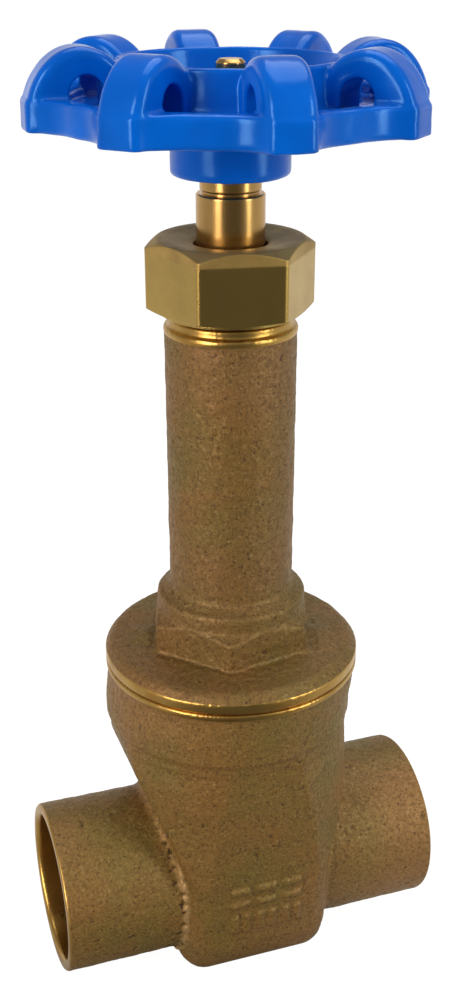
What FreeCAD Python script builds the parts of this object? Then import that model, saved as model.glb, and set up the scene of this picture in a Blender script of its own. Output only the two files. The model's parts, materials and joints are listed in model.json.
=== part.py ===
import FreeCAD, Part
import math
import os

from FreeCAD import Vector

# Gate valve with solder ends, a screwed bonnet and a rising stem, drawn closed.
# Millimetres. X runs along the pipe and Z up along the stem. Heights below are
# measured from the pipe's axis; the finished pieces are then lifted so that the
# origin lies under the stem, level with the lowest point of the body.

# Solder cups, for copper tube of 28.58 mm outside diameter (1 inch nominal)
cup_bore_radius = 14.35
cup_radius = 16.6
cup_depth = 23.1
end_to_end = 76.7
half_length = end_to_end / 2
cup_stop = half_length - cup_depth
cup_edge_round = 0.5
cup_mouth_bevel = 1.4

# Body casting
port_radius = 12.3
body_half_width = 14.65
pocket_floor_z = -19.4
pocket_round = 13.0
pocket_floor_half = 6.5
pocket_corner = 4.6
pocket_top_half = 22.8
waist_z = 4.5
crease_z = 36.5
crease_radius = 23.45
neck_radius_low = 23.85
neck_radius_high = 24.05
lip_radius = 24.35
lip_height = 1.3
joint_z = 47.8
junction_fillet = 1.6
pocket_inner_floor_z = -16.8
pocket_inner_round = 10.4
pocket_inner_top_half = 17.8
pocket_half_width = 9.4
rib_outer_y = 18.0
neck_throat_radius = 17.2
seat_ring_radius = 14.7
guide_width = 3.6
guide_inner_y = 12.6
guide_bottom_z = -6.0
guide_top_z = 31.0

# Wedge
wedge_radius = 14.6
wedge_half_thickness = 6.0
wedge_angle = 5.0
seat_gap = 0.02
wedge_shoulder_z = 13.0
wedge_shoulder_half_width = 14.2
wedge_top_z = 21.2
wedge_boss_half_width = 9.8
wedge_boss_radius = 12.2
slot_floor_z = 15.2
slot_roof_z = 18.6
slot_half_width = 7.0
slot_neck_half_width = 4.1
guide_side_gap = 0.3

# Stem
lift = 27.5
backseat_gap = 0.1
stem_lead = 3.175
stem_thread_radius = 7.94
stem_core_radius = 6.35
shank_radius = 5.96
button_radius = 6.8
button_bottom_z = 15.5
button_top_z = 18.4
stem_neck_radius = 3.9
stem_collar_z = 22.2
stem_thread_bottom_z = 33.5
stem_thread_top_z = 81.2
shoulder_z = 136.4
wheel_seat_radius = 5.3
square_side = 7.4
square_bottom_z = 141.5
stem_end_radius = 3.1
stem_end_depth = 0.65
stem_end_pitch = 1.27
stem_end_bottom_z = 150.6
stem_top_z = 158.0

# Bonnet casting
skirt_bottom_z = 34.0
skirt_thread_radius = 20.15
skirt_core_radius = 19.15
skirt_inner_radius = 17.0
skirt_pitch = 1.8
flange_radius = 24.36
flange_band_top_z = 50.0
flange_top_z = 51.6
flange_round = 2.4
hex_across_flats = 28.4
hex_turn = 10.9
hex_top_z = 58.4
hex_corner_drop = 1.3
boss_radius = 14.05
boss_top_z = 62.0
tube_bottom_z = 63.8
tube_radius_low = 11.58
tube_radius_high = 11.76
tube_top_z = 112.5
land_radius = 11.9
land_top_z = 113.6
relief_radius = 11.1
relief_top_z = 115.2
nut_thread_radius = 10.45
nut_core_radius = 9.7
nut_pitch = 1.27
bonnet_top_z = 124.3
stem_nut_bottom_z = 61.0
stem_nut_top_z = 80.5
thread_gap = 0.12
cavity_radius = 8.35
backseat_z = stem_thread_top_z + lift + backseat_gap
stem_hole_radius = 6.06
box_bottom_z = 112.0
box_radius = 8.25

# Packing, gland and packing nut
packing_count = 4
packing_height = 2.15
packing_gap = 0.02
packing_bore = 6.0
packing_radius = 8.22
gland_top_z = 126.1
gland_collar_z = 124.9
gland_radius = 8.15
gland_collar_radius = 9.3
nut_bottom_z = 115.7
nut_collar_radius = 12.2
nut_collar_height = 0.7
nut_top_z = 128.85
nut_across_flats = 26.1
nut_turn = -10.0
nut_web_bottom_z = 126.15

# Handwheel
lobe_count = 8
lobe_turn = -3.3
lobe_outer_radius = 34.36
lobe_inner_radius = 17.0
lobe_width = 8.0
lobe_crest_r = 25.25
lobe_crest_z = 160.68
lobe_outer_spring_z = 149.0
lobe_inner_spring_z = 152.0
lobe_round = 1.6
lobe_foot_fillet = 11.0
vent_centre_r = 24.4
vent_centre_z = 153.6
vent_radius = 2.9
rim_radius = 30.5
rim_inner_radius = 27.0
rim_bottom_z = 147.8
rim_top_z = 153.0
web_bottom_z = 148.3
web_top_z = 150.8
cup_rim_radius = 19.15
cup_rim_z = 158.3
cup_inner_radius = 16.6
hub_radius = 10.2
hub_bottom_z = 139.4

# Wheel fastening
plate_radius = 8.4
plate_thickness = 0.8
wheel_nut_across_flats = 11.1
wheel_nut_height = 4.2

# Height of the pipe's axis above the origin
pipe_axis_height = -pocket_floor_z

PARTS_FOLDER = "parts"


def move(dx=0.0, dy=0.0, dz=0.0):
    """Shorthand for a displacement."""
    return Vector(dx, dy, dz)


def outline(start, *steps, plane="xz"):
    """Closed face from a start point. A step is a point, or (through, end) for an arc."""

    def place(point):
        if plane == "xz":
            return Vector(point[0], 0, point[1])
        return Vector(0, point[0], point[1])

    edges = []
    here = start
    for step in list(steps) + [start]:
        if isinstance(step[0], tuple):
            through, end = step
            edges.append(Part.Arc(place(here), place(through), place(end)).toShape())
        else:
            end = step
            if math.dist(here, end) > 1e-6:
                edges.append(Part.makeLine(place(here), place(end)))
        here = end
    return Part.Face(Part.Wire(edges))


def turned(start, *steps):
    """Solid of revolution about Z from a half section of (radius, height) points."""
    return outline(start, *steps).revolve(Vector(0, 0, 0), Vector(0, 0, 1), 360)


def rod(radius, bottom, top):
    """Upright cylinder on the Z axis."""
    return Part.makeCylinder(radius, top - bottom, Vector(0, 0, bottom))


def block(half_x, y_low, y_high, bottom, top):
    """Box centred on X."""
    corner = Vector(-half_x, y_low, bottom)
    return Part.makeBox(2 * half_x, y_high - y_low, top - bottom, corner)


def prism(sides, across_flats, bottom, top, corner_angle):
    """Upright regular prism with one corner at the given angle in degrees."""
    corner_radius = across_flats / 2 / math.cos(math.pi / sides)
    points = []
    for k in range(sides + 1):
        angle = math.radians(corner_angle) + 2 * math.pi * k / sides
        points.append(Vector(corner_radius * math.cos(angle), corner_radius * math.sin(angle), bottom))
    return Part.Face(Part.makePolygon(points)).extrude(move(dz=top - bottom))


def thread_ridge(root_radius, crest_radius, pitch, root_width, crest_width, bottom, top):
    """Right-hand helical ridge whose root is sunk slightly into its core."""
    sink = 0.25
    flare = (root_width - crest_width) / 2 / (crest_radius - root_radius)
    half_root = root_width / 2 + sink * flare
    helix = Part.makeHelix(pitch, top - bottom, root_radius)
    helix.translate(move(dz=bottom))
    corners = [
        Vector(root_radius - sink, 0, bottom - half_root),
        Vector(crest_radius, 0, bottom - crest_width / 2),
        Vector(crest_radius, 0, bottom + crest_width / 2),
        Vector(root_radius - sink, 0, bottom + half_root),
    ]
    profile = Part.makePolygon(corners + [corners[0]])
    return Part.Wire(helix.Edges).makePipeShell([profile], True, True)


def trapezoid_thread(core_radius, crest_radius, pitch, bottom, top, grow=0.0):
    """Stem thread with flanks at 14.5 degrees; grow widens it to cut the nut's thread."""
    crest_width = 0.3707 * pitch
    root_width = crest_width + 2 * (crest_radius - core_radius) * math.tan(math.radians(14.5))
    root, crest = core_radius + grow, crest_radius + grow
    return thread_ridge(root, crest, pitch, root_width + 2 * grow, crest_width + 2 * grow, bottom, top)


def vee_thread(core_radius, crest_radius, pitch, bottom, top, grow=0.0):
    """Sixty-degree thread; grow widens it to cut the mating thread."""
    crest_width = pitch / 8
    root_width = crest_width + 2 * (crest_radius - core_radius) * math.tan(math.radians(30))
    root, crest = core_radius + grow, crest_radius + grow
    return thread_ridge(root, crest, pitch, root_width + 2 * grow, crest_width + 2 * grow, bottom, top)


def edges_where(shape, keep):
    """Edges whose middle point and direction there pass the test."""
    found = []
    for edge in shape.Edges:
        middle = (edge.FirstParameter + edge.LastParameter) / 2
        if keep(edge.valueAt(middle), edge.tangentAt(middle), edge):
            found.append(edge)
    return found


def thickness_at(z, gap=0.0):
    """Half thickness of the wedge at a height."""
    return wedge_half_thickness + gap + z * math.tan(math.radians(wedge_angle))


# ---- Body -----------------------------------------------------------------


def funnel_side(half_depth):
    """The body seen along the pipe's side: upright below, swelling to the neck."""
    top = crease_z + 3
    spline = Part.BSplineCurve()
    points = [
        Vector(body_half_width, 0, waist_z),
        Vector(15.2, 0, 9.5),
        Vector(17.2, 0, 16.5),
        Vector(20.0, 0, 24.1),
        Vector(crease_radius, 0, crease_z),
        Vector(crease_radius + 0.7, 0, top),
    ]
    spline.interpolate(Points=points, InitialTangent=Vector(0, 0, 1), FinalTangent=Vector(0.2, 0, 1))
    right = spline.toShape()
    left = right.mirror(Vector(0, 0, 0), Vector(1, 0, 0))
    low = pocket_floor_z - 3
    foot = [
        Vector(-body_half_width, 0, waist_z),
        Vector(-body_half_width, 0, low),
        Vector(body_half_width, 0, low),
        Vector(body_half_width, 0, waist_z),
    ]
    straight = [Part.makeLine(a, b) for a, b in zip(foot, foot[1:])]
    roof = Part.makeLine(points[-1], Vector(-points[-1].x, 0, top))
    wire = Part.Wire(Part.__sortEdges__(straight + [right, roof, left]))
    face = Part.Face(wire)
    face.translate(move(dy=-half_depth))
    return face.extrude(move(dy=2 * half_depth))


def pocket_front(floor_z, round_radius, floor_half, top_half, top, half_depth):
    """Prism along the pipe: level floor, round bilges, and sides tangent to the bilges."""
    centre_y, centre_z = floor_half, floor_z + round_radius
    reach = math.hypot(top_half - centre_y, top - centre_z)
    angle = math.atan2(top - centre_z, top_half - centre_y) - math.acos(round_radius / reach)
    side = (centre_y + round_radius * math.cos(angle), centre_z + round_radius * math.sin(angle))
    half_way = (angle - math.pi / 2) / 2
    bilge = (centre_y + round_radius * math.cos(half_way), centre_z + round_radius * math.sin(half_way))
    face = outline(
        (-top_half, top),
        (-side[0], side[1]),
        ((-bilge[0], bilge[1]), (-floor_half, floor_z)),
        (floor_half, floor_z),
        (bilge, side),
        (top_half, top),
        plane="yz",
    )
    face.translate(move(dx=-half_depth))
    return face.extrude(move(dx=2 * half_depth))


def body_lower():
    """Flattened lower body with rounded corners, trimmed to the neck's circle."""
    depth = 30.0
    top = crease_z + 3
    front = pocket_front(pocket_floor_z, pocket_round, pocket_floor_half, pocket_top_half, top, depth)
    solid = funnel_side(depth).common(front)

    def is_corner(point, direction, edge):
        along_pipe = abs(direction.x) > 0.999
        across_pipe = abs(direction.y) > 0.999 and abs(point.z - top) < 0.01
        return not along_pipe and not across_pipe and point.z < top - 0.1

    solid = solid.makeFillet(pocket_corner, edges_where(solid, is_corner))
    return solid.common(rod(crease_radius, -30, crease_z))


def body_neck():
    """Round neck with the thin machined lip that the bonnet lands on."""
    bevel = 0.3
    return turned(
        (0, crease_z - 0.5),
        (neck_radius_low - 0.3, crease_z - 0.5),
        (neck_radius_low, crease_z + 0.2),
        (neck_radius_high, joint_z - lip_height),
        (lip_radius, joint_z - lip_height + bevel),
        (lip_radius, joint_z - bevel),
        (lip_radius - bevel, joint_z),
        (0, joint_z),
    )


def rating_marks():
    """Plain raised bars on the front: pairs lying flat above upright pairs, leaning with the wall."""
    raised = 0.6
    depth = 3.0
    bar_length, bar_height = 3.6, 1.1
    post_width, post_height = 1.1, 3.8
    lean = 4.0
    front_y = -19.95
    marks = []
    for x in (-6.8, -1.5, 3.8):
        for bar_z in (1.6, 5.0):
            marks.append(Part.makeBox(bar_length, depth, bar_height, Vector(x, -raised, bar_z)))
        for post_x in (x + 0.3, x + 2.6):
            marks.append(Part.makeBox(post_width, depth, post_height, Vector(post_x, -raised, -4.6)))
    for mark in marks:
        mark.rotate(Vector(0, 0, 0), Vector(1, 0, 0), lean)
        mark.translate(move(dy=front_y))
    return marks


def body_pocket():
    """Hollow of the body: a slot for the wedge that opens into the neck."""
    side = outline(
        (-pocket_half_width, pocket_inner_floor_z - 1),
        (pocket_half_width, pocket_inner_floor_z - 1),
        (pocket_half_width, 10.0),
        (neck_throat_radius + 0.5, guide_top_z),
        (neck_throat_radius + 0.5, joint_z),
        (-neck_throat_radius - 0.5, joint_z),
        (-neck_throat_radius - 0.5, guide_top_z),
        (-pocket_half_width, 10.0),
    )
    side.translate(move(dy=-25))
    slot = side.extrude(move(dy=50))
    inside = (pocket_inner_floor_z, pocket_inner_round, pocket_floor_half, pocket_inner_top_half)
    front = pocket_front(*inside, joint_z, 30)
    return slot.common(front).common(rod(neck_throat_radius, -25, joint_z))


def wedge_path(gap, bottom, top, half_depth=20.0):
    """Tapered slab that the wedge's two faces lie on."""
    face = outline(
        (-thickness_at(bottom, gap), bottom),
        (thickness_at(bottom, gap), bottom),
        (thickness_at(top, gap), top),
        (-thickness_at(top, gap), top),
    )
    face.translate(move(dy=-half_depth))
    return face.extrude(move(dy=2 * half_depth))


def along_pipe(radius, start, end):
    """Cylinder on the pipe's axis."""
    return Part.makeCylinder(radius, end - start, Vector(start, 0, 0), Vector(1, 0, 0))


def body():
    """The body casting, with its seats, guides, cups and neck thread."""
    lower = body_lower()
    cups = along_pipe(cup_radius, -half_length, half_length)

    def cup_edge(point, direction, edge):
        return abs(abs(point.x) - half_length) < 0.01 and len(edge.Vertexes) == 1

    cups = cups.makeFillet(cup_edge_round, edges_where(cups, cup_edge))
    outer = lower.fuse(cups)

    def junction(point, direction, edge):
        on_cup = abs(math.hypot(point.y, point.z) - cup_radius) < 0.05
        return on_cup and body_half_width - 0.5 < abs(point.x) < 25 and abs(direction.x) < 0.9

    outer = outer.makeFillet(junction_fillet, edges_where(outer, junction))
    outer = outer.fuse(body_neck())
    for mark in rating_marks():
        outer = outer.fuse(mark)

    hollow = outer.cut(body_pocket())
    seats = along_pipe(seat_ring_radius, -pocket_half_width - 1, pocket_half_width + 1)
    seats = seats.cut(wedge_path(seat_gap, pocket_inner_floor_z, -pocket_inner_floor_z))
    hollow = hollow.fuse(seats)
    for sign in (-1, 1):
        rib = block(guide_width / 2, guide_inner_y, rib_outer_y, guide_bottom_z, guide_top_z)
        if sign < 0:
            rib = rib.mirror(Vector(0, 0, 0), Vector(0, 1, 0))
        hollow = hollow.fuse(rib)
        mouth = along_pipe(cup_bore_radius, cup_stop, half_length + 1)
        wide = cup_bore_radius + cup_mouth_bevel
        start = Vector(half_length - 0.5, 0, 0)
        mouth = mouth.fuse(Part.makeCone(cup_bore_radius, wide, cup_mouth_bevel, start, Vector(1, 0, 0)))
        if sign < 0:
            mouth = mouth.mirror(Vector(0, 0, 0), Vector(1, 0, 0))
        hollow = hollow.cut(mouth)
    hollow = hollow.cut(along_pipe(port_radius, -half_length, half_length))

    bore_radius = skirt_core_radius + thread_gap
    hollow = hollow.cut(rod(bore_radius, skirt_bottom_z - 0.4, joint_z + 1))
    groove = vee_thread(
        skirt_core_radius, skirt_thread_radius, skirt_pitch, skirt_bottom_z + 0.9, joint_z + 1.8, thread_gap
    )
    return hollow.cut(groove)


# ---- Wedge ----------------------------------------------------------------


def gate_wedge():
    """Solid wedge: a disc with tapered faces, side grooves and a T-slot on top."""
    disc = along_pipe(wedge_radius, -20, 20)
    shoulders = block(20, -wedge_shoulder_half_width, wedge_shoulder_half_width, 0, wedge_shoulder_z)
    boss = block(20, -wedge_boss_half_width, wedge_boss_half_width, 0, wedge_top_z)
    boss = boss.common(rod(wedge_boss_radius, 0, wedge_top_z))
    shape = disc.fuse(shoulders).fuse(boss)
    shape = shape.common(wedge_path(0.0, -wedge_radius - 1, wedge_top_z + 1))

    groove_half = guide_width / 2 + guide_side_gap
    groove_floor = guide_inner_y - guide_side_gap
    for sign in (-1, 1):
        low, high = sorted((sign * groove_floor, sign * (wedge_radius + 2)))
        shape = shape.cut(block(groove_half, low, high, -wedge_radius, wedge_shoulder_z + 5))
        relief = Part.makeCylinder(10.5, 4, Vector(sign * (thickness_at(0) - 0.6), 0, 0), Vector(sign, 0, 0))
        shape = shape.cut(relief)
    slot = block(20, -slot_half_width, slot_half_width, slot_floor_z, slot_roof_z)
    opening = block(20, -slot_neck_half_width, slot_neck_half_width, slot_roof_z, wedge_top_z + 1)
    return shape.cut(slot.fuse(opening))


# ---- Stem -----------------------------------------------------------------


def stem():
    """One turned stem: button, thread, backseat cone, shank, square and end thread."""
    cone_rise = stem_thread_radius - shank_radius
    lower = turned(
        (0, button_bottom_z),
        (button_radius - 0.5, button_bottom_z),
        (button_radius, button_bottom_z + 0.5),
        (button_radius, button_top_z - 0.3),
        (button_radius - 0.3, button_top_z),
        (stem_neck_radius, button_top_z),
        (stem_neck_radius, stem_collar_z - 0.6),
        (stem_core_radius - 0.8, stem_collar_z),
        (stem_core_radius, stem_collar_z + 0.8),
        (stem_core_radius, stem_thread_top_z - 0.8),
        (stem_thread_radius, stem_thread_top_z - 0.8),
        (stem_thread_radius, stem_thread_top_z),
        (shank_radius, stem_thread_top_z + cone_rise),
        (shank_radius, shoulder_z - 0.25),
        (shank_radius - 0.25, shoulder_z),
        (wheel_seat_radius - 0.35, shoulder_z),
        (wheel_seat_radius - 0.35, shoulder_z + 0.5),
        (wheel_seat_radius, shoulder_z + 0.7),
        (wheel_seat_radius, square_bottom_z),
        (0, square_bottom_z),
    )
    square = prism(4, square_side, square_bottom_z - 0.5, stem_end_bottom_z, 45)
    square = square.common(rod(wheel_seat_radius - 0.05, square_bottom_z - 0.5, stem_end_bottom_z))
    bevel = 1.2
    end_core_radius = stem_end_radius - stem_end_depth
    end_core = turned(
        (0, stem_end_bottom_z - 0.5),
        (end_core_radius, stem_end_bottom_z - 0.5),
        (end_core_radius, stem_top_z - bevel + stem_end_depth),
        (stem_end_radius - bevel, stem_top_z),
        (0, stem_top_z),
    )
    end_thread = vee_thread(
        end_core_radius, stem_end_radius, stem_end_pitch, stem_end_bottom_z + 0.9, stem_top_z + 0.4
    )
    envelope = turned(
        (0, stem_end_bottom_z - 1),
        (stem_end_radius + 0.5, stem_end_bottom_z - 1),
        (stem_end_radius + 0.5, stem_top_z - bevel - 0.5),
        (stem_end_radius - bevel, stem_top_z),
        (0, stem_top_z),
    )
    end_thread = end_thread.common(envelope)
    main_thread = trapezoid_thread(
        stem_core_radius, stem_thread_radius, stem_lead, stem_thread_bottom_z + 1.2, stem_thread_top_z - 1.6
    )
    shape = lower.fuse(main_thread)
    shape = shape.fuse(square)
    shape = shape.fuse(end_core)
    return shape.fuse(end_thread)


# ---- Bonnet ---------------------------------------------------------------


def bonnet_hex():
    """Wrench hex cast on the bonnet, its top corners bevelled all round."""
    hexagon = prism(6, hex_across_flats, flange_top_z - 1.5, hex_top_z, hex_turn)
    corner_radius = hex_across_flats / math.sqrt(3)
    cap = turned(
        (0, flange_top_z - 2),
        (corner_radius, flange_top_z - 2),
        (corner_radius, hex_top_z - hex_corner_drop),
        (hex_across_flats / 2, hex_top_z),
        (0, hex_top_z),
    )

    def upright(point, direction, edge):
        return abs(direction.z) > 0.999

    hexagon = hexagon.makeFillet(1.6, edges_where(hexagon, upright))
    return hexagon.common(cap)


def bonnet_outside():
    """Skirt, flange, boss, tube and packing neck as one turned form."""
    bevel = 0.35
    flange_edge = flange_radius - 0.12
    round_centre = (flange_edge - flange_round, flange_top_z - flange_round)
    round_middle = (
        round_centre[0] + flange_round * math.cos(math.radians(45)),
        round_centre[1] + flange_round * math.sin(math.radians(45)),
    )
    boss_round = 1.1
    return turned(
        (0, skirt_bottom_z),
        (skirt_core_radius - 0.8, skirt_bottom_z),
        (skirt_core_radius, skirt_bottom_z + 0.8),
        (skirt_core_radius, joint_z),
        (flange_radius - bevel, joint_z),
        (flange_radius, joint_z + bevel),
        (flange_radius, flange_band_top_z),
        (flange_edge, flange_band_top_z + 0.1),
        (flange_edge, round_centre[1]),
        (round_middle, (round_centre[0], flange_top_z)),
        (boss_radius, flange_top_z + 0.3),
        (boss_radius, boss_top_z - boss_round),
        ((boss_radius - 0.3, boss_top_z - 0.3), (boss_radius - boss_round, boss_top_z)),
        (tube_radius_low + 0.8, boss_top_z + 0.6),
        ((tube_radius_low + 0.25, boss_top_z + 1.0), (tube_radius_low, tube_bottom_z)),
        (tube_radius_high, tube_top_z),
        (land_radius, tube_top_z + 0.1),
        (land_radius, land_top_z - 0.2),
        (land_radius - 0.2, land_top_z),
        (relief_radius, land_top_z),
        (relief_radius, relief_top_z),
        (nut_core_radius, relief_top_z),
        (nut_core_radius, bonnet_top_z - 0.5),
        (nut_core_radius - 0.5, bonnet_top_z),
        (0, bonnet_top_z),
    )


def bonnet_inside():
    """Wedge dome, stem nut bore, travel space, backseat and stuffing box."""
    seat_rise = cavity_radius - stem_hole_radius
    seat_start_z = backseat_z - (cavity_radius - stem_thread_radius)
    return turned(
        (0, skirt_bottom_z - 1),
        (skirt_inner_radius, skirt_bottom_z - 1),
        (skirt_inner_radius, 43.5),
        (13.0, 49.2),
        (10.6, 53.0),
        (cavity_radius, 58.5),
        (cavity_radius, stem_nut_bottom_z),
        (stem_core_radius + thread_gap, stem_nut_bottom_z + 1.2),
        (stem_core_radius + thread_gap, stem_nut_top_z),
        (cavity_radius, stem_nut_top_z),
        (cavity_radius, seat_start_z),
        (stem_hole_radius, seat_start_z + seat_rise),
        (stem_hole_radius, box_bottom_z),
        (box_radius, box_bottom_z),
        (box_radius, bonnet_top_z - 0.4),
        (box_radius + 0.5, bonnet_top_z + 0.1),
        (box_radius + 0.5, bonnet_top_z + 1),
        (0, bonnet_top_z + 1),
    )


def bonnet():
    """The bonnet casting with its three threads."""
    shape = bonnet_outside().fuse(bonnet_hex())
    skirt_thread = vee_thread(
        skirt_core_radius, skirt_thread_radius, skirt_pitch, skirt_bottom_z + 2.7, joint_z - 2.5
    )
    shape = shape.fuse(skirt_thread)
    nut_thread = vee_thread(
        nut_core_radius, nut_thread_radius, nut_pitch, relief_top_z + 1.2, bonnet_top_z - 1.0
    )
    shape = shape.fuse(nut_thread)
    shape = shape.cut(bonnet_inside())
    stem_groove = trapezoid_thread(
        stem_core_radius,
        stem_thread_radius,
        stem_lead,
        stem_thread_bottom_z + 1.2 + 8 * stem_lead,
        stem_thread_bottom_z + 1.2 + 15.5 * stem_lead,
        thread_gap,
    )
    return shape.cut(stem_groove)


# ---- Packing set ----------------------------------------------------------


def packing_ring(index):
    """Square braided ring cut once at a slant; the cuts are set a quarter turn apart."""
    bottom = box_bottom_z + packing_gap + index * (packing_height + packing_gap)
    ring = rod(packing_radius, bottom, bottom + packing_height).cut(
        rod(packing_bore, bottom - 1, bottom + packing_height + 1)
    )
    cut_width = 0.25
    saw = Part.makeBox(6, cut_width, 8, Vector(packing_bore - 1, -cut_width / 2, -4))
    saw.rotate(Vector(0, 0, 0), Vector(1, 0, 0), 45)
    saw.rotate(Vector(0, 0, 0), Vector(0, 0, 1), 20 + 90 * index)
    saw.translate(move(dz=bottom + packing_height / 2))
    return ring.cut(saw)


def packing_top_z():
    """Height of the packing stack's upper face."""
    return box_bottom_z + packing_count * (packing_height + packing_gap)


def packing_gland():
    """Follower that the packing nut presses on the rings."""
    bottom = packing_top_z() + packing_gap
    return turned(
        (stem_hole_radius, bottom),
        (gland_radius, bottom),
        (gland_radius, gland_collar_z),
        (gland_collar_radius, gland_collar_z),
        (gland_collar_radius, gland_top_z - 0.3),
        (gland_collar_radius - 0.3, gland_top_z),
        (stem_hole_radius, gland_top_z),
    )


def packing_nut():
    """Hex nut with rounded edges, bevelled top, a dished mouth and a round foot."""
    corner_radius = nut_across_flats / math.sqrt(3)
    hexagon = prism(6, nut_across_flats, nut_bottom_z + nut_collar_height, nut_top_z, nut_turn)

    def upright(point, direction, edge):
        return abs(direction.z) > 0.999

    hexagon = hexagon.makeFillet(1.0, edges_where(hexagon, upright))
    envelope = turned(
        (0, nut_bottom_z),
        (nut_collar_radius, nut_bottom_z),
        (nut_collar_radius, nut_bottom_z + nut_collar_height),
        (nut_across_flats / 2 - 0.1, nut_bottom_z + nut_collar_height),
        (corner_radius + 0.2, nut_bottom_z + nut_collar_height + 0.6),
        (corner_radius + 0.2, nut_top_z - 1.7),
        (nut_across_flats / 2 - 0.1, nut_top_z - 0.1),
        (nut_across_flats / 2 - 0.4, nut_top_z),
        (0, nut_top_z),
    )
    collar = rod(nut_collar_radius, nut_bottom_z, nut_bottom_z + nut_collar_height + 0.2)
    shape = hexagon.fuse(collar).common(envelope)
    inside = turned(
        (0, nut_bottom_z - 1),
        (nut_thread_radius + 0.4, nut_bottom_z - 1),
        (nut_thread_radius + 0.4, nut_bottom_z + 0.2),
        (nut_core_radius + thread_gap, nut_bottom_z + 1.0),
        (nut_core_radius + thread_gap, bonnet_top_z),
        (nut_thread_radius + 0.3, bonnet_top_z + 0.3),
        (nut_thread_radius + 0.3, nut_web_bottom_z),
        (6.5, nut_web_bottom_z),
        (6.5, nut_top_z - 1.1),
        (7.1, nut_top_z - 0.7),
        (11.4, nut_top_z),
        (11.4, nut_top_z + 1),
        (0, nut_top_z + 1),
    )
    shape = shape.cut(inside)
    groove = vee_thread(
        nut_core_radius,
        nut_thread_radius,
        nut_pitch,
        relief_top_z + 1.2 - nut_pitch,
        relief_top_z + 1.2 + 5.5 * nut_pitch,
        thread_gap,
    )
    return shape.cut(groove)


# ---- Handwheel ------------------------------------------------------------


def around(shape, count, first_angle):
    """Copies of a shape set evenly about Z."""
    copies = []
    for k in range(count):
        copy = shape.copy()
        copy.rotate(Vector(0, 0, 0), Vector(0, 0, 1), first_angle + 360.0 * k / count)
        copies.append(copy)
    return copies


def fused(shapes):
    """One solid from several."""
    return shapes[0].multiFuse(shapes[1:]).removeSplitter()


def quarter_ellipse(side_r, spring_z):
    """Arc from the lobe's crest down to its side at the given radius and height."""
    crest = Vector(lobe_crest_r, 0, lobe_crest_z)
    curve = Part.Ellipse(crest, Vector(side_r, 0, spring_z), Vector(lobe_crest_r, 0, spring_z))
    return Part.ArcOfEllipse(curve, 0, math.pi / 2).toShape()


def lobe():
    """One finger lobe: an upright arched plate with rounded edges."""
    corners = [
        Vector(lobe_inner_radius, 0, lobe_inner_spring_z),
        Vector(lobe_inner_radius, 0, rim_bottom_z),
        Vector(lobe_outer_radius, 0, rim_bottom_z),
        Vector(lobe_outer_radius, 0, lobe_outer_spring_z),
    ]
    sides = [Part.makeLine(a, b) for a, b in zip(corners, corners[1:])]
    inner = quarter_ellipse(lobe_inner_radius, lobe_inner_spring_z)
    outer = quarter_ellipse(lobe_outer_radius, lobe_outer_spring_z)
    face = Part.Face(Part.Wire(Part.__sortEdges__(sides + [outer, inner])))
    face.translate(move(dy=-lobe_width / 2))
    plate = face.extrude(move(dy=lobe_width))

    def long_edge(point, direction, edge):
        on_side = abs(abs(point.y) - lobe_width / 2) < 0.01
        outside = point.x > lobe_inner_radius + 0.5 and point.z > rim_bottom_z + 0.1
        return on_side and outside and abs(direction.y) < 0.1

    return plate.makeFillet(lobe_round, edges_where(plate, long_edge))


def lobe_vent():
    """Arched air passage through a lobe, between it and the cup's wall."""
    face = outline(
        (vent_centre_r - vent_radius, web_top_z),
        (vent_centre_r + vent_radius, web_top_z),
        (vent_centre_r + vent_radius, vent_centre_z),
        ((vent_centre_r, vent_centre_z + vent_radius), (vent_centre_r - vent_radius, vent_centre_z)),
    )
    half_cut = lobe_width / 2 + 0.05
    face.translate(move(dy=-half_cut))
    return face.extrude(move(dy=2 * half_cut))


def rim_plan():
    """The rim and the lobes' feet from above, with every corner rounded."""
    inset = 0.05
    plan = Part.Face(Part.Wire([Part.makeCircle(rim_radius)]))
    foot_width = lobe_width - 2 * inset
    foot = Part.makePlane(lobe_outer_radius - inset, foot_width, Vector(0, -foot_width / 2, 0))
    plan = plan.multiFuse(around(foot, lobe_count, lobe_turn)).removeSplitter().Faces[0]
    plan = plan.makeOffset2D(-lobe_round).makeOffset2D(lobe_round + lobe_foot_fillet)
    return plan.makeOffset2D(-lobe_foot_fillet).Faces[0]


def wheel_rim():
    """Outer band that sweeps into the lobes' feet, with softened edges."""
    height = rim_top_z - rim_bottom_z
    edge_round = 0.8
    band = rim_plan().extrude(move(dz=height))
    band.translate(move(dz=rim_bottom_z))

    def level_edge(point, direction, edge):
        return abs(direction.z) < 0.01

    band = band.makeFillet(edge_round, edges_where(band, level_edge))
    opening = turned(
        (0, rim_bottom_z - 1),
        (rim_inner_radius - 0.8, rim_bottom_z - 1),
        (rim_inner_radius - 0.8, rim_bottom_z + 0.9),
        (rim_inner_radius - 0.3, rim_top_z - 1.0),
        ((rim_inner_radius + 0.2, rim_top_z - 0.3), (rim_inner_radius + 0.9, rim_top_z)),
        (rim_inner_radius + 0.9, rim_top_z + 1),
        (0, rim_top_z + 1),
    )
    return band.cut(opening)


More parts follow.
